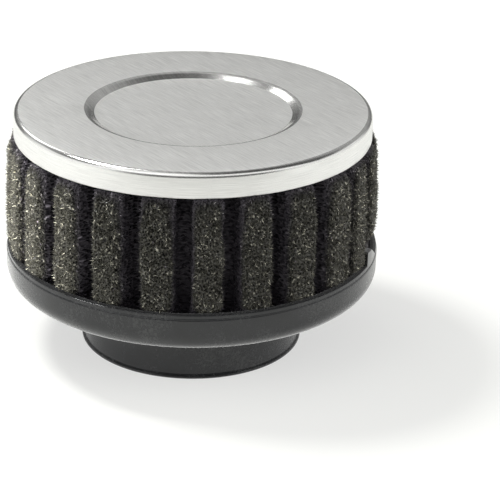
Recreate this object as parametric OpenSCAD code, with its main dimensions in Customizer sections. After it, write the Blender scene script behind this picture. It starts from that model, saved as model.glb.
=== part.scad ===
// Round clamp-on air filter: a moulded rubber base with a neck, a pleated foam
// element on a wire mesh, and a pressed aluminium end cap, bonded together.
// Millimetres. Z is up, and the origin is the centre of the neck's open end.

/* [Overall] */
// Height from the neck's open end to the top of the cap
total_h = 59; // [56:0.5:70]

/* [Neck] */
// Bore that slips over the carburettor's spigot
neck_bore_d = 46; // [40:0.5:48]
// Wall thickness of the neck
neck_wall = 3.5; // [2.5:0.1:4.5]
// Length of the neck below the bowl
neck_len = 15.6; // [12:0.1:19]
// How far the lip stands out from the neck at its open end
lip_out = 0.6; // [0.3:0.1:1.2]
// Height of that lip
lip_h = 0.9; // [0.6:0.1:2]
// Lead-in chamfer at the mouth of the bore
lead_in = 0.8; // [0.2:0.1:1.5]

/* [Bowl] */
// Outer diameter of the bowl
bowl_d = 90.4; // [89:0.2:96]
// Height of the bowl, from its underside to its rim
bowl_h = 9.7; // [9:0.1:12]
// Radius between the bowl's wall and its underside
bowl_corner_r = 4.75; // [3:0.25:5.5]
// Thickness of the bowl's wall at the rim
bowl_wall = 1.6; // [1.2:0.1:2.4]
// Thickness of the bowl's floor
bowl_floor = 3; // [2:0.1:3.8]
// How far the narrow band under the rim is set in from the wall
band_inset = 0.2; // [0.1:0.05:0.4]
// Height of that band
band_h = 1.1; // [0.6:0.1:1.8]
// Radius where the neck runs into the bowl's underside
neck_fillet_r = 1; // [0.4:0.1:2]

/* [Rim tab] */
// Angle of the middle of the tab's foot, anticlockwise from +X
tab_turn = -21; // [-40:1:0]
// Height of the tab above the rim, at its upright side
tab_h = 3.5; // [2:0.1:5]
// How much lower its top is at the sloping side
tab_fall = 0.5; // [0:0.1:1]
// Width of the tab at the rim
tab_foot_w = 8.2; // [6:0.1:10]
// Width of the tab at its top
tab_top_w = 3.6; // [2:0.1:5]

/* [Element] */
// Thickness of the foam sheet
foam_t = 3.3; // [3:0.1:3.6]
// Least width of the grooves, which are widened until whole pleats fit round
groove_w = 4; // [3:0.1:5]
// Depth of the grooves between the pleats
pleat_depth = 8.2; // [7:0.1:9]
// Radius of the foam where it folds over at the outside
fold_corner_r = 2; // [1.5:0.1:2.8]
// How much the middle of each fold stands forward
fold_crown = 0.15; // [0:0.05:0.4]
// Gap left between the foam at its fullest and the bowl's outside
foam_inset = 0.25; // [0.1:0.05:1]
// Share of the free height up to which the foam keeps its full width
full_to = 0.35; // [0.2:0.05:0.6]
// How much narrower the foam has become at the skirt
taper = 1; // [0:0.1:1.5]
// Height over which the foam swells out above the rim
rim_swell_h = 2.4; // [1.5:0.1:3.5]
// The same below the skirt
skirt_swell_h = 3.6; // [2:0.1:4.5]
// Clearance between the foam and the edges that pinch it in
pinch_gap = 0.1; // [0.05:0.05:0.3]

/* [Wire mesh] */
// Thickness of the pleated mesh that backs the foam
mesh_t = 0.4; // [0.3:0.05:0.6]
// Gap between the two layers of mesh inside a pleat
fold_gap = 0.3; // [0.2:0.05:0.6]
// Rows of openings up the mesh
mesh_rows = 5; // [3:1:5]
// Width of an opening
mesh_gap_w = 3.4; // [2:0.1:4]
// Width of the bars between the rows
mesh_bar = 1.4; // [0.8:0.1:2]

/* [End cap] */
// How far the cap's skirt stands in from the bowl's outside
cap_inset = 2.3; // [1.5:0.1:3.5]
// Height of the skirt, with the corner at its top
skirt_h = 6.1; // [5.5:0.1:9]
// Thickness of the aluminium sheet
sheet = 0.8; // [0.5:0.05:1]
// Radius between the skirt and the top
cap_corner_r = 1.3; // [1.1:0.1:2.5]
// Diameter of the round recess in the top, over its rounded edge
recess_d = 52.6; // [40:0.2:60]
// Depth of the recess
recess_depth = 1.05; // [0.6:0.05:1.6]
// Slope of the recess's wall from the horizontal
recess_slope = 28; // [25:1:40]
// Radius at the recess's edge
recess_edge_r = 1.1; // [1.05:0.05:1.5]
// Radius at the recess's foot
recess_foot_r = 0.4; // [0.2:0.1:0.6]

/* [Bonding resin] */
// How far the resin's surface lies inside the skirt's edge
cap_resin_drop = 0.3; // [0.1:0.1:0.6]
// How far the resin's surface lies below the rim
bowl_resin_drop = 2.7; // [2:0.1:3]
// Thickness of resin between the cap's underside and the element's end
cap_resin_layer = 1; // [0.6:0.1:1.5]
// Thickness of resin between the bowl's floor and the element's end
bowl_resin_layer = 1; // [0.6:0.1:1.5]
// Resin between the element's end and the wall outside it
cap_resin_margin = 0.4; // [0.2:0.1:0.8]
// The same in the bowl, where the foam is gathered in from the rim
bowl_resin_margin = 1.4; // [1:0.1:1.8]
// Resin between the element's inner folds and the base's collar
collar_resin_margin = 1; // [0.6:0.1:1.5]

/* [Hidden] */
$fn = 96;
// Segments in one quarter-turn of a turned profile, a fold's corner and half a groove
turned_segments = 6;
corner_segments = 2;
groove_segments = 2;
// Clearance between the foam and the tab that presses on it
tab_clearance = 0.3;
// Height over which a pressed pleat swells out again above the tab
tab_recovery = 5;
// Shares of a swell's height at which the foam's outline is taken
swell_steps = [0, 0.12, 0.45, 1];

bore_r = neck_bore_d / 2;
neck_r = bore_r + neck_wall;
bowl_r = bowl_d / 2;
rim_r = bowl_r - band_inset;
bowl_in_r = rim_r - bowl_wall;
bowl_top = neck_len + bowl_h;
bowl_floor_z = neck_len + bowl_floor;

cap_r = bowl_r - cap_inset;
cap_in_r = cap_r - sheet;
recess_r = recess_d / 2;
cap_under_z = total_h - sheet;
recess_under_z = cap_under_z - recess_depth;
skirt_z = total_h - skirt_h;

element_low = bowl_floor_z + bowl_resin_layer;
element_high = recess_under_z - cap_resin_layer;
resin_low = bowl_top - bowl_resin_drop;
resin_high = skirt_z + cap_resin_drop;

foam_r = bowl_r - foam_inset;
rib_w = 2 * (foam_t + mesh_t) + fold_gap;
pleats = floor(2 * PI * foam_r / (rib_w + groove_w));
pleat_turn = 360 / pleats;
half_turn = pleat_turn / 2;
foam_low_r = bowl_in_r - bowl_resin_margin;
foam_high_r = cap_in_r - cap_resin_margin;
rim_pinch_r = bowl_in_r - pinch_gap;
skirt_pinch_r = cap_in_r - pinch_gap;
full_z = bowl_top + full_to * (skirt_z - bowl_top);
// The mesh stands straight, so the narrower end of the element sets where it folds
mesh_fold_r = min(foam_low_r, foam_high_r);
groove_bottom_r = foam_r - pleat_depth;
collar_r = groove_bottom_r - foam_t - mesh_t - collar_resin_margin;
groove_r = (groove_bottom_r - rib_w / 2 / sin(half_turn)) / (1 / sin(half_turn) - 1);
groove_centre_r = groove_bottom_r + groove_r;
tab_press_r = bowl_in_r - tab_clearance;
tab_top = bowl_top + tab_h;
// Heights at which the pressed pleat leaves the tab, and has its full width again
leaves_tab_z = max(tab_top, bowl_top + rim_swell_h) + tab_clearance;
recovered_z = leaves_tab_z + tab_recovery;

// Points along an arc, from one angle to another
function arc(x, y, r, from, to, segments) =
    [for (i = [0 : segments]) let (a = from + (to - from) * i / segments)
        [x + r * cos(a), y + r * sin(a)]];

function reversed(points) = [for (i = [len(points) - 1 : -1 : 0]) points[i]];

function turned(points, a) =
    [for (p = points) [p[0] * cos(a) - p[1] * sin(a), p[0] * sin(a) + p[1] * cos(a)]];

// Radius of a rounded corner after the outline is moved inwards by depth
function corner_r(depth) =
    depth < fold_corner_r ? fold_corner_r - depth : 0.8 * (rib_w / 2 - depth);

// One pleat's outline, from the middle of one groove nearly to the middle of the next,
// moved in from the foam's outside by depth, with the fold ending at end_r
function pleat_line(depth, end_r) =
    let (
        half = rib_w / 2 - depth,
        r = corner_r(depth),
        gx = groove_centre_r * cos(half_turn),
        gy = groove_centre_r * sin(half_turn),
        gr = groove_r + depth,
        fx = end_r - fold_crown - depth - r,
        last = arc(gx, gy, gr, -90, half_turn - 180, groove_segments)
    )
    concat(
        arc(gx, -gy, gr, 180 - half_turn, 90, groove_segments),
        arc(fx, r - half, r, -90, 0, corner_segments),
        [[fx + r + fold_crown, 0]],
        arc(fx, half - r, r, 0, 90, corner_segments),
        [for (i = [0 : groove_segments - 1]) last[i]]
    );

// The whole closed outline, with one end radius for each pleat
function element_line(depth, ends) =
    [for (k = [0 : pleats - 1]) for (p = turned(pleat_line(depth, ends[k]), k * pleat_turn)) p];

function same_ends(r) = [for (k = [0 : pleats - 1]) r];

// Share of a rounded swell that is still to come, at distance d from the edge it starts at
function unswelled(d, h) = d < h ? 1 - sqrt(1 - pow(1 - d / h, 2)) : 0;

// Radius of the foam's outside between the rim and the skirt
function free_r(z) =
    let (above_full = max(0, (z - full_z) / (skirt_z - full_z)))
    foam_r - taper * pow(above_full, 2)
        - (foam_r - rim_pinch_r) * unswelled(z - bowl_top, rim_swell_h)
        - (foam_r - taper - skirt_pinch_r) * unswelled(skirt_z - z, skirt_swell_h);

// Radius of the foam's outside over its whole height, ends in the resin included
function swelling_r(z) =
    z <= resin_low ? foam_low_r : z >= resin_high ? foam_high_r : free_r(z);

// The same for a pleat that the rim's tab presses back
function pressed_r(z) =
    let (press = min(1, max(0, (recovered_z - z) / tab_recovery)))
    swelling_r(z) - press * max(0, swelling_r(z) - tab_press_r);

// Whether the tab stands in front of any of pleat k
function behind_tab(k) =
    let (away = abs((k * pleat_turn - tab_turn + 540) % 360 - 180))
    away * PI / 180 * bowl_in_r < (tab_foot_w + rib_w) / 2;

function foam_ends(z) =
    [for (k = [0 : pleats - 1]) behind_tab(k) ? pressed_r(z) : swelling_r(z)];

function at_height(points, z) = [for (p = points) [p[0], p[1], z]];

// Two triangles for each side between ring a and ring b, whose points start at index a and b
function ring_faces(a, b, count) =
    [for (i = [0 : count - 1]) let (j = (i + 1) % count)
        each [[a + i, b + i, b + j], [a + i, b + j, a + j]]];

// The cap's surface from the axis to its lower edge, moved in from the outside by depth
function cap_line(depth) =
    let (
        edge_r = recess_edge_r - depth,
        foot_r = recess_foot_r + depth,
        rounded = (recess_edge_r + recess_foot_r) * (1 - cos(recess_slope)),
        straight = (recess_depth - rounded) / sin(recess_slope),
        run = (recess_edge_r + recess_foot_r) * sin(recess_slope) + straight * cos(recess_slope)
    )
    concat(
        [[0, total_h - recess_depth - depth]],
        arc(recess_r - run, total_h - recess_depth + recess_foot_r, foot_r,
            -90, recess_slope - 90, turned_segments),
        arc(recess_r, total_h - recess_edge_r, edge_r,
            90 + recess_slope, 90, turned_segments),
        arc(cap_r - cap_corner_r, total_h - cap_corner_r, cap_corner_r - depth,
            90, 0, turned_segments)
    );

// The base's section: the neck with its lip, the bowl, and a thick collar that keeps the
// resin out of the bore. The wall of the bowl is drawn as high as the tab
module base_section() {
    polygon(concat(
        [[bore_r + lead_in, 0]],
        arc(neck_r + lip_out - lip_h / 2, lip_h / 2, lip_h / 2, -90, 90, 2 * turned_segments),
        [[neck_r, lip_h]],
        arc(neck_r + neck_fillet_r, neck_len - neck_fillet_r, neck_fillet_r,
            180, 90, turned_segments),
        arc(bowl_r - bowl_corner_r, neck_len + bowl_corner_r, bowl_corner_r,
            -90, 0, 2 * turned_segments),
        [
            [bowl_r, bowl_top - band_h],
            [rim_r, bowl_top - band_h + band_inset],
            [rim_r, tab_top],
            [bowl_in_r, tab_top]
        ],
        arc(bowl_in_r - bowl_floor / 2, bowl_floor_z + bowl_floor / 2, bowl_floor / 2,
            0, -90, turned_segments),
        [
            [collar_r, bowl_floor_z],
            [collar_r, resin_low],
            [bore_r, resin_low],
            [bore_r, lead_in]
        ]
    ));
}

// What is cut off the wall above the rim. It leaves the tab, which is upright on one side
// and slopes down to the rim on the other
module above_rim() {
    foot = tab_foot_w / rim_r * 180 / PI;
    top = tab_top_w / rim_r * 180 / PI;
    difference() {
        translate([0, 0, bowl_top])
            difference() {
                cylinder(r = rim_r + 1, h = tab_h + 1);
                translate([0, 0, -1]) cylinder(r = bowl_in_r - 1, h = tab_h + 3);
            }
        rotate([90, 0, 90])
            linear_extrude(rim_r + 2)
                polygon([
                    [-rim_r * sin(foot / 2), bowl_top - 1],
                    [rim_r * sin(foot / 2), bowl_top - 1],
                    [rim_r * sin(foot / 2), bowl_top],
                    [rim_r * sin(top - foot / 2), tab_top - tab_fall],
                    [-rim_r * sin(foot / 2), tab_top]
                ]);
    }
}

module base() {
    color("#313235")
        difference() {
            rotate_extrude() base_section();
            rotate(tab_turn) above_rim();
        }
}

// The star-shaped slot that the foam and mesh stand in, from z up by h
module element_slot(z, h, end_r) {
    translate([0, 0, z])
        linear_extrude(h)
            difference() {
                polygon(element_line(0, same_ends(end_r)));
                polygon(element_line(foam_t + mesh_t, same_ends(mesh_fold_r)));
            }
}

module base_resin() {
    color("#1c1c1e")
        difference() {
            rotate_extrude()
                polygon(concat(
                    [[collar_r, bowl_floor_z]],
                    arc(bowl_in_r - bowl_floor / 2, bowl_floor_z + bowl_floor / 2, bowl_floor / 2,
                        -90, 0, turned_segments),
                    [[bowl_in_r, resin_low], [collar_r, resin_low]]
                ));
            element_slot(element_low, resin_low - element_low + 1, foam_low_r);
        }
}

module cap_resin() {
    color("#1c1c1e")
        difference() {
            rotate_extrude()
                polygon(concat([[0, resin_high]], cap_line(sheet), [[cap_in_r, resin_high]]));
            element_slot(resin_high - 1, element_high - resin_high + 1, foam_high_r);
        }
}

// Pleated mesh, with rows of openings in the folds that face the axis
module wire_mesh() {
    row_h = (resin_high - resin_low) / mesh_rows;
    color("#9b9c9a")
        difference() {
            translate([0, 0, element_low])
                linear_extrude(element_high - element_low)
                    difference() {
                        polygon(element_line(foam_t, same_ends(mesh_fold_r)));
                        polygon(element_line(foam_t + mesh_t, same_ends(mesh_fold_r)));
                    }
            for (k = [0 : pleats - 1], row = [0 : mesh_rows - 1])
                rotate((k + 0.5) * pleat_turn)
                    translate([
                        bore_r,
                        -mesh_gap_w / 2,
                        resin_low + row * row_h + mesh_bar / 2
                    ])
                        cube([groove_bottom_r - bore_r, mesh_gap_w, row_h - mesh_bar]);
        }
}

// Foam sheet folded over the mesh: the outside swells, the inside follows the mesh
module foam_element() {
    heights = concat(
        [element_low, resin_low],
        [for (step = swell_steps) bowl_top + step * rim_swell_h],
        [leaves_tab_z, recovered_z, (recovered_z + skirt_z - skirt_swell_h) / 2],
        [for (step = reversed(swell_steps)) skirt_z - step * skirt_swell_h],
        [resin_high, element_high]
    );
    last = len(heights) - 1;
    outside = [for (z = heights) at_height(element_line(0, foam_ends(z)), z)];
    inner_line = element_line(foam_t, same_ends(mesh_fold_r));
    count = len(inner_line);
    inner_low = (last + 1) * count;
    inner_high = inner_low + count;
    color("#35322c")
        polyhedron(
            points = concat(
                [for (ring = outside) each ring],
                at_height(inner_line, element_low),
                at_height(inner_line, element_high)
            ),
            faces = concat(
                [for (i = [0 : last - 1]) each ring_faces(i * count, (i + 1) * count, count)],
                ring_faces(inner_high, inner_low, count),
                ring_faces(inner_low, 0, count),
                ring_faces(last * count, inner_high, count)
            ),
            convexity = 20
        );
}

module end_cap() {
    edge_r = sheet / 2;
    edge_z = skirt_z + edge_r;
    color("#c6c7c6")
        rotate_extrude()
            polygon(concat(
                cap_line(0),
                arc(cap_r - edge_r, edge_z, edge_r, 0, -180, 2 * turned_segments),
                reversed(cap_line(sheet))
            ));
}

base();
base_resin();
wire_mesh();
foam_element();
cap_resin();
end_cap();
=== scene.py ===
# Looks of a round clamp-on air filter: foam pleats between a rubber base and a pressed cap
import math

import bpy
import numpy as np
from mathutils import Euler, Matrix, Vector, noise


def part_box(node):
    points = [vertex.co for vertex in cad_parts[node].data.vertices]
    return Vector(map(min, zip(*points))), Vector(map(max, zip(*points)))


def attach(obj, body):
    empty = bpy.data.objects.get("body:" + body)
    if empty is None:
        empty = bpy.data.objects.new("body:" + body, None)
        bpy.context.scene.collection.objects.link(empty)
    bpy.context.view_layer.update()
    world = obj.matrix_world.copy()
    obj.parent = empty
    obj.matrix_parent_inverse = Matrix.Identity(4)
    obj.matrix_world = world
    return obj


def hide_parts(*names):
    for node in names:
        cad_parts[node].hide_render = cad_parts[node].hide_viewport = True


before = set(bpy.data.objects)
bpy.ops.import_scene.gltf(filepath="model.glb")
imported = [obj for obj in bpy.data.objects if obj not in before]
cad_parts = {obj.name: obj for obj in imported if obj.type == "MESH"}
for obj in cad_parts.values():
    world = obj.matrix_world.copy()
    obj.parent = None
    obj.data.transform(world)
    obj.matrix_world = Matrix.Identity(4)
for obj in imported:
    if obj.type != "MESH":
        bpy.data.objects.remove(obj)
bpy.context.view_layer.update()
scene = bpy.context.scene
scene.view_settings.view_transform = "Standard"
mm = 0.001  # every size below is in millimetres, and every vertex in metres
rng = np.random.default_rng(24)
print("frame loaded:", sorted(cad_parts))


def toLinear(hexColour):
    parts = [int(hexColour[i:i + 2], 16) / 255 for i in (1, 3, 5)]
    return [c / 12.92 if c <= 0.04045 else ((c + 0.055) / 1.055) ** 2.4 for c in parts] + [1]


def socket(sockets, name):
    # a socket by its number, its name or, where several share a name, its identifier
    if isinstance(name, str) and name not in sockets:
        return next(one for one in sockets if one.identifier == name)
    return sockets[name]


def addNode(tree, kind, settings=None, links=None):
    # settings are the node's own options or its sockets' values, links are socket: (node, output)
    node = tree.nodes.new(kind)
    for name, value in (settings or {}).items():
        if isinstance(name, str) and hasattr(node, name):
            setattr(node, name, value)
        else:
            socket(node.inputs, name).default_value = value
    for name, (source, output) in (links or {}).items():
        tree.links.new(socket(source.outputs, output), socket(node.inputs, name))
    return node


def startMaterial(name, shaderSettings):
    material = bpy.data.materials.new(name)
    material.use_nodes = True
    tree = material.node_tree
    tree.nodes.clear()
    shader = addNode(tree, "ShaderNodeBsdfPrincipled", shaderSettings)
    addNode(tree, "ShaderNodeOutputMaterial", links={"Surface": (shader, "BSDF")})
    return material, tree, shader


def setRamp(ramp, stops):
    # stops are (place, colour) pairs
    elements = ramp.color_ramp.elements
    while len(elements) < len(stops):
        elements.new(0.5)
    for element, (place, colour) in zip(elements, stops):
        element.position = place
        element.color = colour


def makePiece(name, points, faces, material, smooth=True):
    mesh = bpy.data.meshes.new(name)
    mesh.from_pydata(points.tolist(), [], faces)
    mesh.polygons.foreach_set("use_smooth", [smooth] * len(mesh.polygons))
    mesh.materials.append(material)
    mesh.update()
    piece = bpy.data.objects.new(name, mesh)
    scene.collection.objects.link(piece)
    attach(piece, "root")
    return piece


def arcPoints(x, z, radius, start, end, steps):
    # points in degrees along an arc of a turned profile
    turn = np.radians(np.linspace(start, end, steps + 1))
    return np.column_stack([x + radius * np.cos(turn), z + radius * np.sin(turn)])


def turnProfile(profile, angles, closed, lift=None):
    # profile runs with the solid on its left; a point on the axis becomes one vertex
    columns = len(angles)
    rows, points = [], []
    for radius, z in profile:
        if radius < 1e-6:
            rows.append([len(points)] * columns)
            points.append((0, 0, z))
            continue
        rows.append(list(range(len(points), len(points) + columns)))
        heights = z + (lift(radius, z, angles) if lift else 0 * angles)
        points += zip(radius * np.cos(angles), radius * np.sin(angles), heights)
    faces = []
    count = len(rows)
    for i in range(count if closed else count - 1):
        low, high = rows[i], rows[(i + 1) % count]
        for c in range(columns):
            n = (c + 1) % columns
            corner = [low[c], low[n], high[n], high[c]]
            face = [v for k, v in enumerate(corner) if v != corner[k - 1]]
            faces.append(face)
    return np.array(points) * mm, faces


# Foam: reticulated polyurethane, which shows thin shiny struts round deep dark pores.
# The cells measure 0.5 to 0.75 mm in the photograph, and about that here.
foam = {
    "pleats": 24,
    "ribWidth": 7.3,      # the struts that stand out make up the rest
    "foldWidth": 7.7,     # the whole width, from which the inside of the sheet is measured
    "sheet": 3.3,
    "grooveDepth": 8.2,
    "cornerRadius": 1.8,
    "innerCorner": 0.8,   # corner inside the fold, as a share of its half width there
    "crown": 0.3,
    "strutRoom": 0.12,    # left free outside the sheet, for the struts that stand out of it
    "bowlInnerRadius": 43.4,
    "capInnerRadius": 42.1,
    "rimHeight": 25.3,
    "skirtHeight": 52.9,
    "resinLow": 22.6,
    "resinHigh": 53.2,
    "lowEndRadius": 42.0,
    "highEndRadius": 41.7,
    "fullTo": 0.35,
    "taper": 0.9,
    "rimSwell": 2.0,
    "skirtSwell": 3.6,
    "pinchGap": 0.1,
    "touchGap": 0.04,     # kept between any strut and the rim, tab or skirt
    "intoResin": 0.4,     # how far the open cells run on into the resin
    "endInset": 0.02,     # keeps the closed ends inside the solid
    "columns": 42,        # mesh columns on one pleat
    "noseShare": 0.68,    # share of them on the nose of the fold, where the cells show
    "rowHeight": 0.335,
    "poreRounds": 6,      # each places pores in what the last left free
    "poreDepth": (0.45, 0.95),
    "strutRough": 0.09,
    "brokenStruts": 0.08,
    "brokenLength": 0.35,
    "cellJitter": 0.33,
    "lump": 0.45,
    "lumpSize": 4.5,
    "lumpMiddle": 0.3,    # the lumps reach further in than out
    "lumpStep": 60,       # from pleat to pleat in the pattern of lumps, so that no two are alike
    "pleatTurn": 0.8,     # degrees that a pleat may stand off its place
    "pleatWidth": 0.07,
    "pleatReach": 0.2,
    "tabPleats": (23,),   # pressed back by the tab; pleats are counted from +X, anticlockwise
    "tabTop": 28.8,
    "tabRecovery": 5,
    "glintShare": 0.05,   # share of the struts with a painted glint, a much lighter colour
    "glintLight": (4, 14),
    "dullLight": (0.75, 1.35),
    "paintedShadeFrom": 1.1,     # painted shade in the grooves starts this deep, and is full below the next depth
    "shadeDepth": 1.6,
}
# the pleats in sight, by number: degrees off their place, share of the usual width, and dust with painted
# side light
leaning = {13: -1.5, 14: -2.1, 15: -1.8, 16: -1.5, 17: -0.5, 18: 0.3, 19: 0.3, 20: 0.9, 21: 1.8, 22: -0.9,
           23: -2.3}
widths = {13: 1, 14: 1.02, 15: 0.94, 16: 0.97, 17: 1.06, 18: 0.93, 19: 1,
          20: 1.06, 21: 1.1, 22: 1.03, 23: 1.04}
dustAndSideLight = {9: 1.4, 10: 1.9, 11: 2.6, 12: 3.2, 13: 3.4, 14: 3.3, 15: 2.4, 16: 1.35, 17: 1, 18: 1, 19: 1, 20: 1.1,
        21: 1.4, 22: 1.6, 23: 1.7}
foamLow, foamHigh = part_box("foam_element")
foamRadius = foamHigh.x / mm - foam["strutRoom"]
halfTurn = math.pi / foam["pleats"]
grooveBottom = foamRadius - foam["grooveDepth"]
grooveSine = 1 / math.sin(halfTurn)
pleatTurns = rng.uniform(-1, 1, foam["pleats"]) * foam["pleatTurn"]
pleatWidths = 1 + rng.uniform(-1, 1, foam["pleats"]) * foam["pleatWidth"]
pleatReaches = -rng.uniform(0, 1, foam["pleats"]) * foam["pleatReach"]
pleatDustAndLight = rng.uniform(1, 1.3, foam["pleats"])
# the pleats in sight take their listed dust with painted side light, lightest on the left
for known, values in ((leaning, pleatTurns), (widths, pleatWidths), (dustAndSideLight, pleatDustAndLight)):
    values[list(known)] = list(known.values())


def foldLine(share, endRadius, width, depth):
    # share runs from -1 to 1 across a pleat, from groove to groove; depth moves the line inwards
    half = width / 2 - depth
    corner = foam["cornerRadius"] - depth if depth < foam["cornerRadius"] else foam["innerCorner"] * half
    groove = (grooveBottom - width / 2 * grooveSine) / (grooveSine - 1)
    grooveX = (grooveBottom + groove) * math.cos(halfTurn)
    groove = groove + depth
    flat = half - corner
    wallEnd = endRadius - foam["crown"] - depth - corner
    lengths = [flat + 0 * wallEnd, corner * math.pi / 2 + 0 * wallEnd, wallEnd - grooveX,
               groove * (math.pi / 2 - halfTurn) + 0 * wallEnd]
    nose, split = lengths[0] + lengths[1], foam["noseShare"]
    inside = np.clip(abs(share) / split, 0, 1)
    beyond = np.clip((abs(share) - split) / (1 - split), 0, 1)
    away = nose * inside + (lengths[2] + lengths[3]) * beyond
    onFlat = away < lengths[0]
    bend = np.clip((away - lengths[0]) / corner, 0, math.pi / 2)
    onCorner = (away >= lengths[0]) & (away < lengths[0] + lengths[1])
    along = away - lengths[0] - lengths[1]
    onWall = (along >= 0) & (along < lengths[2])
    dip = np.clip((along - lengths[2]) / groove, 0, math.pi / 2)
    crown = foam["crown"] * (1 - np.clip(away / (flat + corner), 0, 1) ** 2)
    cases = [onFlat, onCorner, onWall]
    x = np.select(cases, [wallEnd + corner + crown, wallEnd + corner * np.cos(bend) + crown,
                          wallEnd - along], grooveX - groove * np.sin(dip))
    y = np.select(cases, [away, flat + corner * np.sin(bend), half + 0 * away],
                  half + groove * (1 - np.cos(dip)))
    normalX = np.select(cases, [1 + 0 * away, np.cos(bend), 0 * away], np.sin(dip))
    normalY = np.select(cases, [0 * away, np.sin(bend), 1 + 0 * away], np.cos(dip))
    side = np.where(share < 0, -1, 1)
    return x, y * side, normalX, normalY * side


def swell(distance, height):
    # what a rounded swell still lacks, at a distance from the edge that pinches it
    part = np.clip(1 - distance / height, 0, 1)
    return 1 - np.sqrt(1 - part ** 2)


def foamReach(z, pleat):
    rim, skirt = foam["rimHeight"], foam["skirtHeight"]
    full = rim + foam["fullTo"] * (skirt - rim)
    above = np.clip((z - full) / (skirt - full), 0, None)
    reach = foamRadius - foam["taper"] * above ** 2
    rimPinch = foam["bowlInnerRadius"] - foam["pinchGap"]
    skirtPinch = foam["capInnerRadius"] - foam["pinchGap"]
    reach = reach - (foamRadius - rimPinch) * swell(z - rim, foam["rimSwell"])
    reach = reach - (foamRadius - foam["taper"] - skirtPinch) * swell(skirt - z, foam["skirtSwell"])
    toLowEnd = np.interp(z, [foam["resinLow"], rim], [foam["lowEndRadius"], rimPinch])
    toHighEnd = np.interp(z, [skirt, foam["resinHigh"]], [skirtPinch, foam["highEndRadius"]])
    reach = np.where(z <= rim, toLowEnd, reach)
    reach = np.where(z >= skirt, toHighEnd, reach)
    press = np.clip((foam["tabTop"] + foam["tabRecovery"] - z) / foam["tabRecovery"], 0, 1)
    press = np.where(np.isin(pleat, foam["tabPleats"]), press, 0)
    return reach - press * np.clip(reach - rimPinch, 0, None)


def surfacePoint(share, pleat, z, push):
    # a point on the foam's outside, pushed out along its normal, with that normal
    x, y, normalX, normalY = foldLine(share, foamReach(z, pleat), foam["ribWidth"], 0)
    hold = 1 - np.abs(share) ** 3
    x = x + pleatReaches[pleat] * hold
    y = y * (1 + (pleatWidths[pleat] - 1) * hold)
    patternX = x + foam["lumpStep"] * pleat
    spots = np.column_stack([patternX.ravel(), y.ravel(), z.ravel()]) / foam["lumpSize"]
    lumps = np.array([noise.noise(Vector(spot)) for spot in spots]).reshape(x.shape)
    push = push + foam["lump"] * (lumps - foam["lumpMiddle"])
    angle = pleat * 2 * halfTurn + np.radians(pleatTurns[pleat]) * hold
    cosine, sine = np.cos(angle), np.sin(angle)
    x, y = x + push * normalX, y + push * normalY
    spot = np.stack([x * cosine - y * sine, x * sine + y * cosine, z], -1)
    normal = np.stack([normalX * cosine - normalY * sine, normalX * sine + normalY * cosine, 0 * z], -1)
    return spot, normal


def keepClear(spot, pleat):
    # the foam stays inside the rim, the tab and the skirt
    z = spot[..., 2]
    radius = np.hypot(spot[..., 0], spot[..., 1])
    atTab = np.isin(pleat, foam["tabPleats"]) & (z < foam["tabTop"])
    atRim = z < foam["rimHeight"] + foam["pinchGap"]
    atSkirt = z > foam["skirtHeight"] - foam["pinchGap"]
    limit = np.where(atRim | atTab, foam["bowlInnerRadius"] - foam["touchGap"], np.inf)
    limit = np.where(atSkirt, foam["capInnerRadius"] - foam["touchGap"], limit)
    spot[..., :2] *= np.minimum(1, limit / radius)[..., None]
    return spot


def besideEach(values, edge):
    # the values at the six neighbours of each vertex, in rows that are offset by half a column
    odd = (np.arange(len(values)) % 2 == 1)[:, None]
    left, right = np.roll(values, 1, 1), np.roll(values, -1, 1)
    around = [left, right]
    for step in (1, -1):
        same, before, after = (np.roll(part, step, 0) for part in (values, left, right))
        shifted = np.where(odd, after, before)
        for part in (same, shifted):
            part[0 if step == 1 else -1] = edge
            around.append(part)
    return around


def scatterPores(shape):
    # random vertices, no two of them side by side, so that the cells come out uneven
    chance = rng.random(shape)
    pore = np.zeros(shape, bool)
    free = np.ones(shape, bool)
    for _ in range(foam["poreRounds"]):
        rank = np.where(free, chance, 2)
        lowest = free & (rank < np.minimum.reduce(besideEach(rank, 2)))
        pore |= lowest
        free &= ~lowest & ~np.logical_or.reduce(besideEach(lowest, False))
    return pore


def scatterToneAndPaintedGlints(count):
    # how light each strut's colour is: most vary a little, and a few get a painted glint
    dull = rng.uniform(*foam["dullLight"], count)
    isGlint = rng.random(count) < foam["glintShare"]
    return np.where(isGlint, rng.uniform(*foam["glintLight"], count), dull)


def dustAndPaintedLight(points, light):
    # dust and painted side light lighten the outer folds, some more than others; painted shade keeps the
    # grooves dark
    inwards = foamRadius - np.hypot(points[:, 0], points[:, 1]) - foam["paintedShadeFrom"]
    wearAndPaintedShade = 1 - np.clip(inwards / foam["shadeDepth"], 0, 1)
    turn = np.arctan2(points[:, 1], points[:, 0])
    pleat = np.round(turn / (2 * halfTurn)).astype(int) % foam["pleats"]
    return wearAndPaintedShade, 1 + (light * pleatDustAndLight[pleat] - 1) * wearAndPaintedShade


def addLayer(piece, name, values):
    layer = piece.data.attributes.new(name, "FLOAT", "POINT")
    layer.data.foreach_set("value", values.astype(np.float32))


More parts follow.
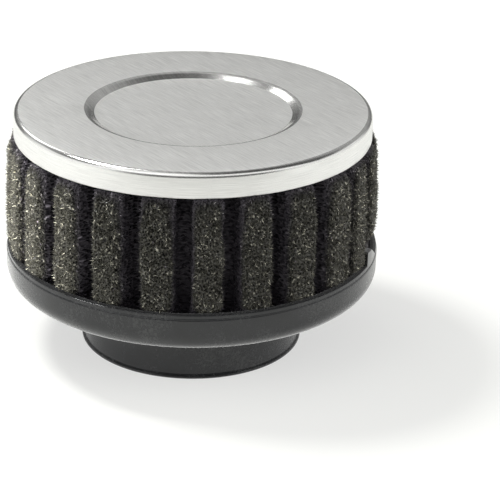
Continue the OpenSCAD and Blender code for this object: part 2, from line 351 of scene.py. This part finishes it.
def buildFoam(material):
    perPleat = foam["columns"]
    columns = perPleat * foam["pleats"]
    rowZ = np.arange(foam["resinLow"] - foam["intoResin"], foam["resinHigh"] + foam["intoResin"],
                     foam["rowHeight"])
    rows = len(rowZ)
    row, column = np.meshgrid(np.arange(rows), np.arange(columns), indexing="ij")
    isPore = scatterPores(row.shape)
    jitter = foam["cellJitter"]
    place = column + 0.5 * (row % 2) + rng.uniform(-jitter, jitter, row.shape)
    z = rowZ[row] + foam["rowHeight"] * rng.uniform(-jitter, jitter, row.shape)
    pleat = np.floor(place / perPleat).astype(int)
    share = 2 * (place / perPleat - pleat) - 1
    pleat = pleat % foam["pleats"]
    push = rng.normal(0, foam["strutRough"], row.shape)
    broken = rng.random(row.shape) < foam["brokenStruts"]
    push = push + np.where(broken, foam["brokenLength"] * rng.random(row.shape), 0)
    push = np.where(isPore, -rng.uniform(*foam["poreDepth"], row.shape), push)
    outside, _ = surfacePoint(share, pleat, z, push)
    outside = keepClear(outside, pleat).reshape(-1, 3)

    # the closed ends in the resin, and the plain inside of the sheet, which nothing shows
    ringShare = 2 * ((np.arange(columns) % perPleat) / perPleat) - 1
    ringAngle = (np.arange(columns) // perPleat) * 2 * halfTurn

    def ring(endRadius, inwards, height):
        rx, ry, _, _ = foldLine(ringShare, endRadius + 0 * ringShare, foam["foldWidth"], inwards)
        return np.column_stack([rx * np.cos(ringAngle) - ry * np.sin(ringAngle),
                                rx * np.sin(ringAngle) + ry * np.cos(ringAngle),
                                height + 0 * rx])

    bottom, top = foamLow.z / mm, foamHigh.z / mm
    innerEnd = min(foam["lowEndRadius"], foam["highEndRadius"])
    inset = foam["endInset"]
    lowRing = ring(foam["lowEndRadius"] - inset, inset, bottom)
    highRing = ring(foam["highEndRadius"] - inset, inset, top)
    innerLow = ring(innerEnd, foam["sheet"], bottom)
    innerHigh = ring(innerEnd, foam["sheet"], top)
    points = np.vstack([innerLow, lowRing, outside, highRing, innerHigh]) * mm
    ringsBefore = 2
    order = np.arange(len(points)).reshape(-1, columns)
    faces = []
    nextColumn = np.roll(np.arange(columns), -1)
    for r in range(len(order)):
        low, high = order[r], order[(r + 1) % len(order)]
        gridRow = r - ringsBefore
        if 0 <= gridRow < rows and gridRow % 2 == 1:
            first = np.column_stack([low, high[nextColumn], high])
            second = np.column_stack([low, low[nextColumn], high[nextColumn]])
        else:
            first = np.column_stack([low, low[nextColumn], high])
            second = np.column_stack([high, low[nextColumn], high[nextColumn]])
        faces += first.tolist() + second.tolist()
    piece = makePiece("foam_pleats", points, faces, material, smooth=False)
    strut = np.zeros(len(points))
    strut[ringsBefore * columns:ringsBefore * columns + isPore.size] = ~isPore.ravel()
    # painted shade: deep in the grooves the struts fade to the pore colour, without dust or glints
    wearAndPaintedShade, light = dustAndPaintedLight(points / mm, scatterToneAndPaintedGlints(len(points)))
    addLayer(piece, "strut", strut * wearAndPaintedShade)
    addLayer(piece, "light", light)
    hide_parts("foam_element")
    print("foam:", len(faces), "triangles")


# Broken cell walls stand out all over the foam, thin and pointed, and make it look furry
fuzz = {
    "count": 64000,
    "length": (0.4, 1.2),
    "thickness": (0.07, 0.15),
    "lean": 0.8,
    "root": 0.25,         # depth of its root in the foam
    "shareReach": 0.62,   # how far round the fold it grows, as a share of the way to the groove
    "pastEdges": (0.6, 0.2),  # how far below the rim and above the skirt's edge it starts and ends
    "paintedTipSheen": 3,        # painted sheen: the tips get a lighter colour, so folds look lighter from the side
}


def buildFuzz(material):
    count = fuzz["count"]
    pleat = rng.integers(0, foam["pleats"], count)
    share = rng.uniform(-1, 1, count) * fuzz["shareReach"]
    below, above = fuzz["pastEdges"]
    z = rng.uniform(foam["rimHeight"] - below, foam["skirtHeight"] + above, count)
    root, normal = surfacePoint(share, pleat, z, -fuzz["root"] + 0 * z)
    way = normal + rng.normal(0, fuzz["lean"], (count, 3))
    way /= np.linalg.norm(way, axis=1)[:, None]
    way = np.where((way * normal).sum(1)[:, None] < 0, -way, way)
    tip = root + way * rng.uniform(*fuzz["length"], count)[:, None]
    across = np.cross(way, rng.normal(0, 1, (count, 3)))
    across /= np.linalg.norm(across, axis=1)[:, None]
    other = np.cross(way, across)
    thick = rng.uniform(*fuzz["thickness"], count)[:, None]
    corners = [root + thick * (math.cos(a) * across + math.sin(a) * other)
               for a in (0, 2 * math.pi / 3, 4 * math.pi / 3)]
    tip = keepClear(tip, pleat)
    points = np.stack(corners + [tip], 1).reshape(-1, 3) * mm
    first = np.arange(count)[:, None] * 4
    faces = np.concatenate([first + [0, 1, 3], first + [1, 2, 3], first + [2, 0, 3]])
    piece = makePiece("foam_struts", points, faces.tolist(), material, smooth=False)
    # painted shade: struts rooted deep in the grooves fade to the pore colour, without dust or glints
    wearAndPaintedShade, light = dustAndPaintedLight(root, scatterToneAndPaintedGlints(count))
    addLayer(piece, "strut", np.repeat(wearAndPaintedShade, 4))
    # painted sheen: each strut's tip is made lighter than its root
    addLayer(piece, "light", np.outer(light, [1, 1, 1, fuzz["paintedTipSheen"]]).ravel())
    print("fuzz:", len(faces), "triangles")


def makeFoamMaterial():
    # oiled foam: brown-black, with struts that catch the light and pores that swallow it; glints, tip sheen
    # and groove shade are painted
    material, tree, shader = startMaterial("reticulatedFoam", {"Roughness": 0.3, "IOR": 1.5})
    strut = addNode(tree, "ShaderNodeAttribute", {"attribute_name": "strut"})
    light = addNode(tree, "ShaderNodeAttribute", {"attribute_name": "light"})
    ramp = addNode(tree, "ShaderNodeValToRGB", links={"Fac": (strut, "Fac")})
    # the pores and the grooves share one flat grey, lighter than the struts: painted light that lifts their
    # dark
    setRamp(ramp, [(0.1, toLinear("#454247")), (0.7, toLinear("#232220")), (0.97, toLinear("#34332e"))])
    # the colour is scaled by dust, painted side light, painted glints and painted tip sheen
    tint = addNode(tree, "ShaderNodeVectorMath", {"operation": "SCALE"},
                   {0: (ramp, "Color"), "Scale": (light, "Fac")})
    # painted shade on the reflections: they are weaker in the pores and in the painted-shade grooves
    shine = addNode(tree, "ShaderNodeMapRange", {"To Min": 0.05, "To Max": 0.5}, {"Value": (strut, "Fac")})
    tree.links.new(tint.outputs["Vector"], shader.inputs["Base Color"])
    tree.links.new(shine.outputs["Result"], shader.inputs["Specular IOR Level"])
    return material


foamMaterial = makeFoamMaterial()
buildFoam(foamMaterial)
buildFuzz(foamMaterial)


# Cap: aluminium sheet, pressed and then brushed in one direction across its top
cap = {
    "radius": 42.9,
    "top": 59.0,
    "sheet": 0.8,
    "skirt": 6.1,
    "cornerRadius": 1.3,
    "recessRadius": 26.3,
    "recessDepth": 1.05,
    "recessSlope": 28,
    "recessEdge": 2.8,    # a soft press edge, so that a thin dark line shows along its near side
    "recessFoot": 0.4,
    "bendMargin": 0.02,   # a point further than this from the flats counts as on a bend
    "recessRings": (8, 16),   # mesh rings on the flats, in and round the recess
    "topRings": (32, 38),
    "segments": 384,
}


def capLine(depth):
    slope = math.radians(cap["recessSlope"])
    bends = cap["recessEdge"] + cap["recessFoot"]
    straight = (cap["recessDepth"] - bends * (1 - math.cos(slope))) / math.sin(slope)
    run = bends * math.sin(slope) + straight * math.cos(slope)
    floorZ = cap["top"] - cap["recessDepth"]
    return np.vstack([
        [[radius, floorZ - depth] for radius in (0, *cap["recessRings"])],
        arcPoints(cap["recessRadius"] - run, floorZ + cap["recessFoot"],
                  cap["recessFoot"] + depth, -90, cap["recessSlope"] - 90, 6),
        arcPoints(cap["recessRadius"], cap["top"] - cap["recessEdge"],
                  cap["recessEdge"] - depth, 90 + cap["recessSlope"], 90, 8),
        [[radius, cap["top"] - depth] for radius in cap["topRings"]],
        arcPoints(cap["radius"] - cap["cornerRadius"], cap["top"] - cap["cornerRadius"],
                  cap["cornerRadius"] - depth, 90, 0, 10),
    ])


brushing = {
    "angle": -60,         # degrees from +X, as the strokes run across the top
    "strokeWidth": 0.24,  # drawn coarser than the real 0.05 mm strokes, which are under a pixel
    "strokeLength": 9,
    "skirtFiner": 3,      # the skirt was only polished, so its strokes are finer
    "skirtFrom": 0.3,     # they begin this share of the corner radius inside the cap's edge
}


def brushedPlaces(points):
    # where each point lies along and across the strokes, and which way they run there
    angle = math.radians(brushing["angle"])
    x, y, z = points.T
    around = np.arctan2(-x, y)
    onSkirt = np.hypot(x, y) > cap["radius"] - brushing["skirtFrom"] * cap["cornerRadius"]
    along = np.where(onSkirt, around * cap["radius"], x * math.cos(angle) + y * math.sin(angle))
    across = np.where(onSkirt, brushing["skirtFiner"] * z, y * math.cos(angle) - x * math.sin(angle))
    wayX = np.where(onSkirt, -np.cos(around), math.cos(angle))
    wayY = np.where(onSkirt, -np.sin(around), math.sin(angle))
    return np.column_stack([along, across, 0 * z]), np.column_stack([wayX, wayY, 0 * z])


def pressedShine(points):
    # the bends come smoother out of the press than the flats, which the brushing scratches
    radius, z = np.hypot(points[:, 0], points[:, 1]), points[:, 2]
    margin, cornerRadius = cap["bendMargin"], cap["cornerRadius"]
    floorZ = cap["top"] - cap["recessDepth"]
    isWall = (z > floorZ + margin) & (z < cap["top"] - margin) & (radius < cap["topRings"][0])
    isCorner = (radius > cap["radius"] - cornerRadius + margin) & (z > cap["top"] - cornerRadius)
    return (isWall | isCorner).astype(float)


def addVectors(piece, name, values):
    layer = piece.data.attributes.new(name, "FLOAT_VECTOR", "POINT")
    layer.data.foreach_set("vector", values.astype(np.float32).ravel())


def buildCap(material):
    edge = cap["sheet"] / 2
    edgeZ = cap["top"] - cap["skirt"] + edge
    profile = np.vstack([
        capLine(cap["sheet"]),
        arcPoints(cap["radius"] - edge, edgeZ, edge, -180, 0, 12),
        capLine(0)[::-1],
    ])
    angles = np.linspace(0, 2 * math.pi, cap["segments"], endpoint=False)
    points, faces = turnProfile(profile, angles, closed=False)
    piece = makePiece("pressed_cap", points, faces, material)
    place, way = brushedPlaces(points / mm)
    addVectors(piece, "strokePlace", place)
    addVectors(piece, "strokeWay", way)
    addLayer(piece, "shine", pressedShine(points / mm))
    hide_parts("end_cap")
    print("cap:", len(faces), "faces")


def makeAluminiumMaterial():
    # sheet aluminium, brushed and polished: satin, with reflections that spread across the strokes
    material, tree, shader = startMaterial(
        "brushedAluminium", {"Metallic": 1, "Anisotropic": 0.8, "Anisotropic Rotation": 0.25})
    place = addNode(tree, "ShaderNodeAttribute", {"attribute_name": "strokePlace"})
    way = addNode(tree, "ShaderNodeAttribute", {"attribute_name": "strokeWay"})
    scale = (1 / brushing["strokeLength"], 1 / brushing["strokeWidth"], 1)
    stretched = addNode(tree, "ShaderNodeVectorMath", {"operation": "MULTIPLY", 1: scale},
                        {0: (place, "Vector")})
    strokes = addNode(tree, "ShaderNodeTexNoise", {"Scale": 1, "Detail": 4, "Roughness": 0.75},
                      {"Vector": (stretched, "Vector")})
    ramp = addNode(tree, "ShaderNodeValToRGB", links={"Fac": (strokes, "Fac")})
    setRamp(ramp, [(0.35, toLinear("#d5d5d2")), (0.65, toLinear("#f7f7f4"))])
    brushed = addNode(tree, "ShaderNodeMapRange", {"To Min": 0.28, "To Max": 0.42},
                      {"Value": (strokes, "Fac")})
    shine = addNode(tree, "ShaderNodeAttribute", {"attribute_name": "shine"})
    smoother = addNode(tree, "ShaderNodeMapRange", {"To Min": 1, "To Max": 0.5}, {"Value": (shine, "Fac")})
    rough = addNode(tree, "ShaderNodeMath", {"operation": "MULTIPLY"},
                    {0: (brushed, "Result"), 1: (smoother, "Result")})
    bump = addNode(tree, "ShaderNodeBump", {"Strength": 0.35, "Distance": 0.02 * mm},
                   {"Height": (strokes, "Fac")})
    tree.links.new(ramp.outputs["Color"], shader.inputs["Base Color"])
    tree.links.new(rough.outputs["Value"], shader.inputs["Roughness"])
    tree.links.new(bump.outputs["Normal"], shader.inputs["Normal"])
    tree.links.new(way.outputs["Vector"], shader.inputs["Tangent"])
    return material


buildCap(makeAluminiumMaterial())


# Base: one moulding of black nitrile rubber, with a satin skin from the polished mould
base = {
    "boreRadius": 23,
    "neckWall": 3.5,
    "neckLength": 15.6,
    "lipOut": 0.6,
    "lipHeight": 0.9,
    "leadIn": 0.8,
    "bowlRadius": 45.2,
    "bowlHeight": 9.7,
    "cornerRadius": 4.75,
    "bandInset": 0.2,
    "bandHeight": 1.1,
    "wall": 1.6,
    "floor": 3,
    "neckFillet": 1,
    "edgeRound": 0.22,    # the small radii on the moulding's edges
    "mouthRound": (0.3, 0.35),
    "lipFoot": 0.3,
    "bandRound": 0.4,
    "bandStart": (0.3, 0.35),
    "collarTop": 22.6,
    "collarRadius": 32.05,
    "tabAngle": -21,      # degrees from +X to the middle of the tab's foot
    "tabHeight": 3.5,
    "tabFall": 0.5,
    "tabFoot": 8.2,
    "tabTop": 3.6,
    "tabDraft": 0.12,     # what the tab's upright side leans, over its height
    "slack": 0.01,        # for rounding errors in a height
    "segments": 360,
}


def tabLift(radius, z, angles):
    # how far the tab raises the top of the rim at each angle
    rimTop = base["neckLength"] + base["bowlHeight"]
    onWall = radius > base["collarRadius"] + base["wall"]
    if z < rimTop - base["edgeRound"] - base["slack"] or not onWall:
        return 0 * angles
    reach = base["bowlRadius"] - base["bandInset"]
    turn = np.degrees((angles - math.radians(base["tabAngle"]) + math.pi) % (2 * math.pi) - math.pi)
    away = np.radians(turn) * reach
    foot, top = base["tabFoot"], base["tabTop"]
    stops = [-foot / 2 - base["tabDraft"], -foot / 2, top - foot / 2, foot / 2]
    high = base["tabHeight"]
    return np.interp(away, stops, [0, high, high - base["tabFall"], 0])


def buildBase(material):
    bore, bowl = base["boreRadius"], base["bowlRadius"]
    neck = bore + base["neckWall"]
    rim = bowl - base["bandInset"]
    inner = rim - base["wall"]
    rimTop = base["neckLength"] + base["bowlHeight"]
    bandLow = rimTop - base["bandHeight"]
    floorZ = base["neckLength"] + base["floor"]
    lip = base["lipHeight"] / 2
    edge = base["edgeRound"]
    corner, fillet = base["cornerRadius"], base["neckFillet"]
    collar, collarTop, leadIn = base["collarRadius"], base["collarTop"], base["leadIn"]
    mouthX, mouthZ = base["mouthRound"]
    lipFoot, bandRound = base["lipFoot"], base["bandRound"]
    below, above = base["bandStart"]
    floorRound = base["floor"] / 2
    profile = np.vstack([
        [[bore, leadIn], [bore + mouthX, mouthZ], [bore + leadIn, 0]],
        arcPoints(neck + base["lipOut"] - lip, lip, lip, -90, 90, 12),
        arcPoints(neck + lipFoot, base["lipHeight"] + lipFoot, lipFoot, -90, -180, 4),
        arcPoints(neck + fillet, base["neckLength"] - fillet, fillet, 180, 90, 8),
        arcPoints(bowl - corner, base["neckLength"] + corner, corner, -90, 0, 20),
        arcPoints(bowl - bandRound, bandLow - below, bandRound, 0, 60, 5),
        arcPoints(rim + bandRound, bandLow + above, bandRound, -120, -180, 5),
        arcPoints(rim - edge, rimTop - edge, edge, 0, 90, 5),
        arcPoints(inner + edge, rimTop - edge, edge, 90, 180, 5),
        arcPoints(inner - floorRound, floorZ + floorRound, floorRound, 0, -90, 8),
        [[collar, floorZ], [collar, collarTop], [bore, collarTop]],
    ])
    # more columns at the tab's corners
    middle = math.radians(base["tabAngle"])
    foot = base["tabFoot"] / 2 / rim
    topTurn = (base["tabTop"] - base["tabFoot"] / 2) / rim
    tight = base["tabDraft"] / rim
    extra = np.array([-foot - tight * 1.5, -foot - tight, -foot - tight / 2, -foot, -foot + tight,
                      topTurn - tight, topTurn, topTurn + tight, foot - tight, foot, foot + tight])
    angles = np.linspace(0, 2 * math.pi, base["segments"], endpoint=False)
    angles = np.unique(np.round(np.concatenate([angles, (middle + extra) % (2 * math.pi)]), 6))
    points, faces = turnProfile(profile, angles, closed=True, lift=tabLift)
    piece = makePiece("rubber_base", points, faces, material)
    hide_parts("base")
    print("base:", len(faces), "faces")


rubberSkin = {
    "grain": 0.35,        # drawn coarser than the real 0.05 mm of a polished mould
    "scuffs": 0.6,
    "bloom": 9,
}


def makeRubberMaterial():
    # nitrile rubber from a polished mould: near black, satin, with a faint bloom in patches and
    # small scuffs from handling that catch the light
    material, tree, shader = startMaterial(
        "mouldedRubber", {"IOR": 1.52, "Sheen Weight": 0.65, "Sheen Roughness": 0.3})
    coordinate = addNode(tree, "ShaderNodeTexCoord")
    grain = addNode(tree, "ShaderNodeTexNoise", {"Scale": 1 / (rubberSkin["grain"] * mm), "Detail": 4},
                    {"Vector": (coordinate, "Object")})
    bloom = addNode(tree, "ShaderNodeTexNoise", {"Scale": 1 / (rubberSkin["bloom"] * mm), "Detail": 5},
                    {"Vector": (coordinate, "Object")})
    scuffs = addNode(tree, "ShaderNodeTexNoise", {"Scale": 1 / (rubberSkin["scuffs"] * mm), "Detail": 3},
                     {"Vector": (coordinate, "Object")})
    # the scuffs show most where the bloom is
    wearAndPaintedShade = addNode(tree, "ShaderNodeMath", {"operation": "MULTIPLY"},
                   {0: (scuffs, "Fac"), 1: (bloom, "Fac")})
    ramp = addNode(tree, "ShaderNodeValToRGB", links={"Fac": (wearAndPaintedShade, "Value")})
    setRamp(ramp, [(0.14, toLinear("#121314")), (0.3, toLinear("#1c1d1f")), (0.42, toLinear("#303131"))])
    rough = addNode(tree, "ShaderNodeMapRange",
                    {"From Min": 0.14, "From Max": 0.4, "To Min": 0.14, "To Max": 0.34},
                    {"Value": (wearAndPaintedShade, "Value")})
    bump = addNode(tree, "ShaderNodeBump", {"Strength": 0.4, "Distance": 0.03 * mm},
                   {"Height": (grain, "Fac")})
    tree.links.new(ramp.outputs["Color"], shader.inputs["Base Color"])
    tree.links.new(rough.outputs["Result"], shader.inputs["Roughness"])
    tree.links.new(bump.outputs["Normal"], shader.inputs["Normal"])
    return material


buildBase(makeRubberMaterial())


# Resin: poured into the bowl and the cap round the ends of the element
resin = {"ripple": 6}


def makeResinMaterial():
    # black two-part polyurethane, cast in place: smooth, glossy and all but level
    material, tree, shader = startMaterial("castPolyurethane", {"IOR": 1.5, "Roughness": 0.3})
    coordinate = addNode(tree, "ShaderNodeTexCoord")
    flow = addNode(tree, "ShaderNodeTexNoise", {"Scale": 1 / (resin["ripple"] * mm), "Detail": 2},
                   {"Vector": (coordinate, "Object")})
    ramp = addNode(tree, "ShaderNodeValToRGB", links={"Fac": (flow, "Fac")})
    setRamp(ramp, [(0.3, toLinear("#161617")), (0.7, toLinear("#202022"))])
    bump = addNode(tree, "ShaderNodeBump", {"Strength": 0.3, "Distance": 0.2 * mm},
                   {"Height": (flow, "Fac")})
    tree.links.new(ramp.outputs["Color"], shader.inputs["Base Color"])
    tree.links.new(bump.outputs["Normal"], shader.inputs["Normal"])
    return material


resinMaterial = makeResinMaterial()
for name in ("base_resin", "cap_resin"):
    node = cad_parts[name]
    node.data.materials.clear()
    node.data.materials.append(resinMaterial)
print("resin dressed")


# Wire mesh: a net of galvanised steel wires, folded with the foam that lies on it
wires = {
    "spacing": 2.1,
    "diameter": 0.17,
    "setIn": 0.2,         # from the inside of the foam to the middle of a wire
    "spangle": 1.5,       # patches in the zinc
    "sides": 4,
    "pointsPerPleat": 28,
}


def tubeFaces(start, count, sides, closed):
    faces = []
    for i in range(count if closed else count - 1):
        n = (i + 1) % count
        for k in range(sides):
            m = (k + 1) % sides
            faces.append([start + i * sides + k, start + i * sides + m,
                          start + n * sides + m, start + n * sides + k])
    return faces


def buildWires(material):
    inwards = foam["sheet"] + wires["setIn"]
    endRadius = min(foam["lowEndRadius"], foam["highEndRadius"])
    count = wires["pointsPerPleat"] * foam["pleats"]
    share = 2 * ((np.arange(count) % wires["pointsPerPleat"]) / wires["pointsPerPleat"]) - 1
    turn = (np.arange(count) // wires["pointsPerPleat"]) * 2 * halfTurn
    x, y, normalX, normalY = foldLine(share, endRadius + 0 * share, foam["foldWidth"], inwards)
    spot = np.column_stack([x * np.cos(turn) - y * np.sin(turn), x * np.sin(turn) + y * np.cos(turn)])
    out = np.column_stack([normalX * np.cos(turn) - normalY * np.sin(turn),
                           normalX * np.sin(turn) + normalY * np.cos(turn)])
    radius = wires["diameter"] / 2
    sides = wires["sides"]
    corners = [(math.cos(a), math.sin(a)) for a in np.arange(sides) * 2 * math.pi / sides]
    low, high = foamLow.z / mm, foamHigh.z / mm
    points, faces = [], []
    for z in np.arange(low + wires["spacing"] / 2, high, wires["spacing"]):
        start = len(points)
        for i in range(count):
            for c, s in corners:
                px, py = spot[i] + out[i] * c * radius
                points.append((px, py, z + s * radius))
        faces += tubeFaces(start, count, sides, True)
    step = np.linalg.norm(np.roll(spot, -1, 0) - spot, axis=1)
    travelled = np.concatenate([[0], np.cumsum(step)])
    closedSpot, closedOut = np.vstack([spot, spot[:1]]), np.vstack([out, out[:1]])
    total = int(travelled[-1] / wires["spacing"])
    for way in np.arange(total) * travelled[-1] / total:
        cx, cy = (np.interp(way, travelled, closedSpot[:, i]) for i in (0, 1))
        ox, oy = (np.interp(way, travelled, closedOut[:, i]) for i in (0, 1))
        start = len(points)
        for z in (low, high):
            for c, s in corners:
                points.append((cx + (ox * c - oy * s) * radius, cy + (oy * c + ox * s) * radius, z))
        faces += tubeFaces(start, 2, sides, False)
    piece = makePiece("wire_pleats", np.array(points) * mm, faces, material)
    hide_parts("wire_mesh")
    print("wires:", len(faces), "faces")


def makeWireMaterial():
    # galvanised wire: a grey metal with a dull, slightly uneven zinc skin
    material, tree, shader = startMaterial("galvanisedWire", {"Metallic": 1})
    coordinate = addNode(tree, "ShaderNodeTexCoord")
    zinc = addNode(tree, "ShaderNodeTexNoise", {"Scale": 1 / (wires["spangle"] * mm), "Detail": 3},
                   {"Vector": (coordinate, "Object")})
    ramp = addNode(tree, "ShaderNodeValToRGB", links={"Fac": (zinc, "Fac")})
    setRamp(ramp, [(0.3, toLinear("#8f908e")), (0.7, toLinear("#b4b5b3"))])
    rough = addNode(tree, "ShaderNodeMapRange", {"To Min": 0.3, "To Max": 0.5},
                    {"Value": (zinc, "Fac")})
    tree.links.new(ramp.outputs["Color"], shader.inputs["Base Color"])
    tree.links.new(rough.outputs["Result"], shader.inputs["Roughness"])
    return material


buildWires(makeWireMaterial())


# Studio: a white floor in a room that is bright behind and in front, and dark overhead
studio = {
    "floorSize": 6000,
    "floorColour": "#f2f3ec",
    "floorLift": 0.56,      # share of plain white that the camera, gloss and glass see on it
    # light of the room along an arc from the horizon behind (0) over the top to the front (1)
    "room": ((0.0, 0.1), (0.05, 0.13), (0.11, 0.28), (0.18, 0.4), (0.28, 0.34), (0.38, 0.1), (0.5, 0.04),
             (0.62, 0.15), (0.68, 1.3), (0.76, 1.2), (0.82, 0.2), (0.96, 0.05)),
    "sideLight": (5.5, 5),  # windows on the left and right, low down
    "sideMirrored": 0.18,   # share of their light that gloss shows, so that the cap sees plain white
    "sideFrom": (0.6, 0.9),
    "sideHeight": (0.3, 0.5),
    # place, size and power in watts
    "lamps": {"key": ((-340, 190, 700), 180, 5), "fill": ((-251, -155, 712), 600, 0.8),
              "window": ((-304, 651, 542), 300, 0.5)},
}


def buildFloor():
    half = studio["floorSize"] / 2 * mm
    mesh = bpy.data.meshes.new("floor")
    mesh.from_pydata([(-half, -half, 0), (half, -half, 0), (half, half, 0), (-half, half, 0)], [],
                     [(0, 1, 2, 3)])
    floor = bpy.data.objects.new("floor", mesh)
    scene.collection.objects.link(floor)
    # matt paint on a smooth floor: an even white that keeps a soft shadow
    material, tree, shader = startMaterial(
        "paintedFloor", {"Roughness": 0.9, "Base Color": toLinear(studio["floorColour"])})
    output = tree.nodes["Material Output"]
    path = addNode(tree, "ShaderNodeLightPath")
    seen = addNode(tree, "ShaderNodeMath", {"operation": "MAXIMUM"},
                   {0: (path, "Is Camera Ray"), 1: (path, "Is Glossy Ray")})
    seen = addNode(tree, "ShaderNodeMath", {"operation": "MAXIMUM"},
                   {0: (seen, "Value"), 1: (path, "Is Transmission Ray")})
    lift = addNode(tree, "ShaderNodeMapRange", {"To Max": studio["floorLift"]}, {"Value": (seen, "Value")})
    white = addNode(tree, "ShaderNodeEmission", {"Strength": 1})
    mix = addNode(tree, "ShaderNodeMixShader", links={"Fac": (lift, "Result"), 1: (shader, "BSDF"),
                                                      2: (white, "Emission")})
    tree.links.new(mix.outputs["Shader"], output.inputs["Surface"])
    mesh.materials.append(material)


def buildRoom():
    world = bpy.data.worlds.new("studio")
    scene.world = world
    world.use_nodes = True
    tree = world.node_tree
    tree.nodes.clear()
    coordinate = addNode(tree, "ShaderNodeTexCoord")
    parts = addNode(tree, "ShaderNodeSeparateXYZ", links={0: (coordinate, "Generated")})
    turn = addNode(tree, "ShaderNodeMath", {"operation": "ARCTAN2"},
                   {0: (parts, "Z"), 1: (parts, "Y")})
    share = addNode(tree, "ShaderNodeMapRange", {"From Max": math.pi}, {"Value": (turn, "Value")})
    ramp = addNode(tree, "ShaderNodeValToRGB", links={"Fac": (share, "Result")})
    setRamp(ramp, [(place, (level, level, level, 1)) for place, level in studio["room"]])
    away = addNode(tree, "ShaderNodeMath", {"operation": "ABSOLUTE"}, {0: (parts, "X")})
    inner, outer = studio["sideFrom"]
    card = addNode(tree, "ShaderNodeMapRange",
                   {"interpolation_type": "SMOOTHSTEP", "From Min": inner, "From Max": outer},
                   {"Value": (away, "Value")})
    lower, upper = studio["sideHeight"]
    below = addNode(tree, "ShaderNodeMapRange",
                    {"interpolation_type": "SMOOTHSTEP", "From Min": upper, "From Max": lower},
                    {"Value": (parts, "Z")})
    card = addNode(tree, "ShaderNodeMath", {"operation": "MULTIPLY"},
                   {0: (card, "Result"), 1: (below, "Result")})
    left, right = studio["sideLight"]
    level = addNode(tree, "ShaderNodeMapRange", {"From Min": -1, "To Min": left, "To Max": right},
                    {"Value": (parts, "X")})
    path = addNode(tree, "ShaderNodeLightPath")
    veiled = addNode(tree, "ShaderNodeMapRange", {"To Min": 1, "To Max": studio["sideMirrored"]},
                     {"Value": (path, "Is Glossy Ray")})
    level = addNode(tree, "ShaderNodeMath", {"operation": "MULTIPLY"},
                    {0: (level, "Result"), 1: (veiled, "Result")})
    room = addNode(tree, "ShaderNodeMix", {"data_type": "RGBA"},
                   {"Factor_Float": (card, "Value"), "A_Color": (ramp, "Color"),
                    "B_Color": (level, "Value")})
    background = addNode(tree, "ShaderNodeBackground", {"Strength": 1}, {"Color": (room, "Result_Color")})
    # past the floor the camera sees white, while the cap mirrors the light and dark of the room
    white = addNode(tree, "ShaderNodeBackground", {"Strength": 1, "Color": (1, 1, 1, 1)})
    mix = addNode(tree, "ShaderNodeMixShader", links={"Fac": (path, "Is Camera Ray"),
                                                      1: (background, "Background"),
                                                      2: (white, "Background")})
    addNode(tree, "ShaderNodeOutputWorld", links={"Surface": (mix, "Shader")})

    for name, (place, size, power) in studio["lamps"].items():
        light = bpy.data.lights.new(name, "AREA")
        light.shape = "DISK"
        light.size = size * mm
        light.energy = power
        lamp = bpy.data.objects.new(name, light)
        lamp.location = Vector(place) * mm
        lamp.rotation_euler = (-lamp.location).to_track_quat("-Z", "Y").to_euler()
        scene.collection.objects.link(lamp)
    print("studio built")


# Camera: the viewpoint of the photograph, worked out from the round edges in it
cameraView = {
    "distance": 536.4,
    "elevation": 25.96,
    "azimuth": -4.7,
    "aimHeight": 25,
    "lens": 154.5,
    "sensor": 36,
    "pan": 1.548,
    "tilt": -0.309,
    "roll": 0.611,
}


def buildCamera():
    data = bpy.data.cameras.new("camera")
    data.lens = cameraView["lens"]
    data.sensor_width = cameraView["sensor"]
    data.dof.use_dof = False
    camera = bpy.data.objects.new("camera", data)
    scene.collection.objects.link(camera)
    up, around = math.radians(cameraView["elevation"]), math.radians(cameraView["azimuth"])
    away = cameraView["distance"] * mm
    camera.location = (away * math.cos(up) * math.sin(around),
                       -away * math.cos(up) * math.cos(around), away * math.sin(up))
    aim = Vector((0, 0, cameraView["aimHeight"] * mm)) - camera.location
    turn = aim.to_track_quat("-Z", "Y")
    for axis, angle in (("Y", -cameraView["pan"]), ("X", cameraView["tilt"]), ("Z", cameraView["roll"])):
        step = Euler([math.radians(angle) if axis == name else 0 for name in "XYZ"])
        turn = turn @ step.to_quaternion()
    camera.rotation_mode = "QUATERNION"
    camera.rotation_quaternion = turn
    scene.camera = camera
    print("camera set")


buildFloor()
buildRoom()
buildCamera()
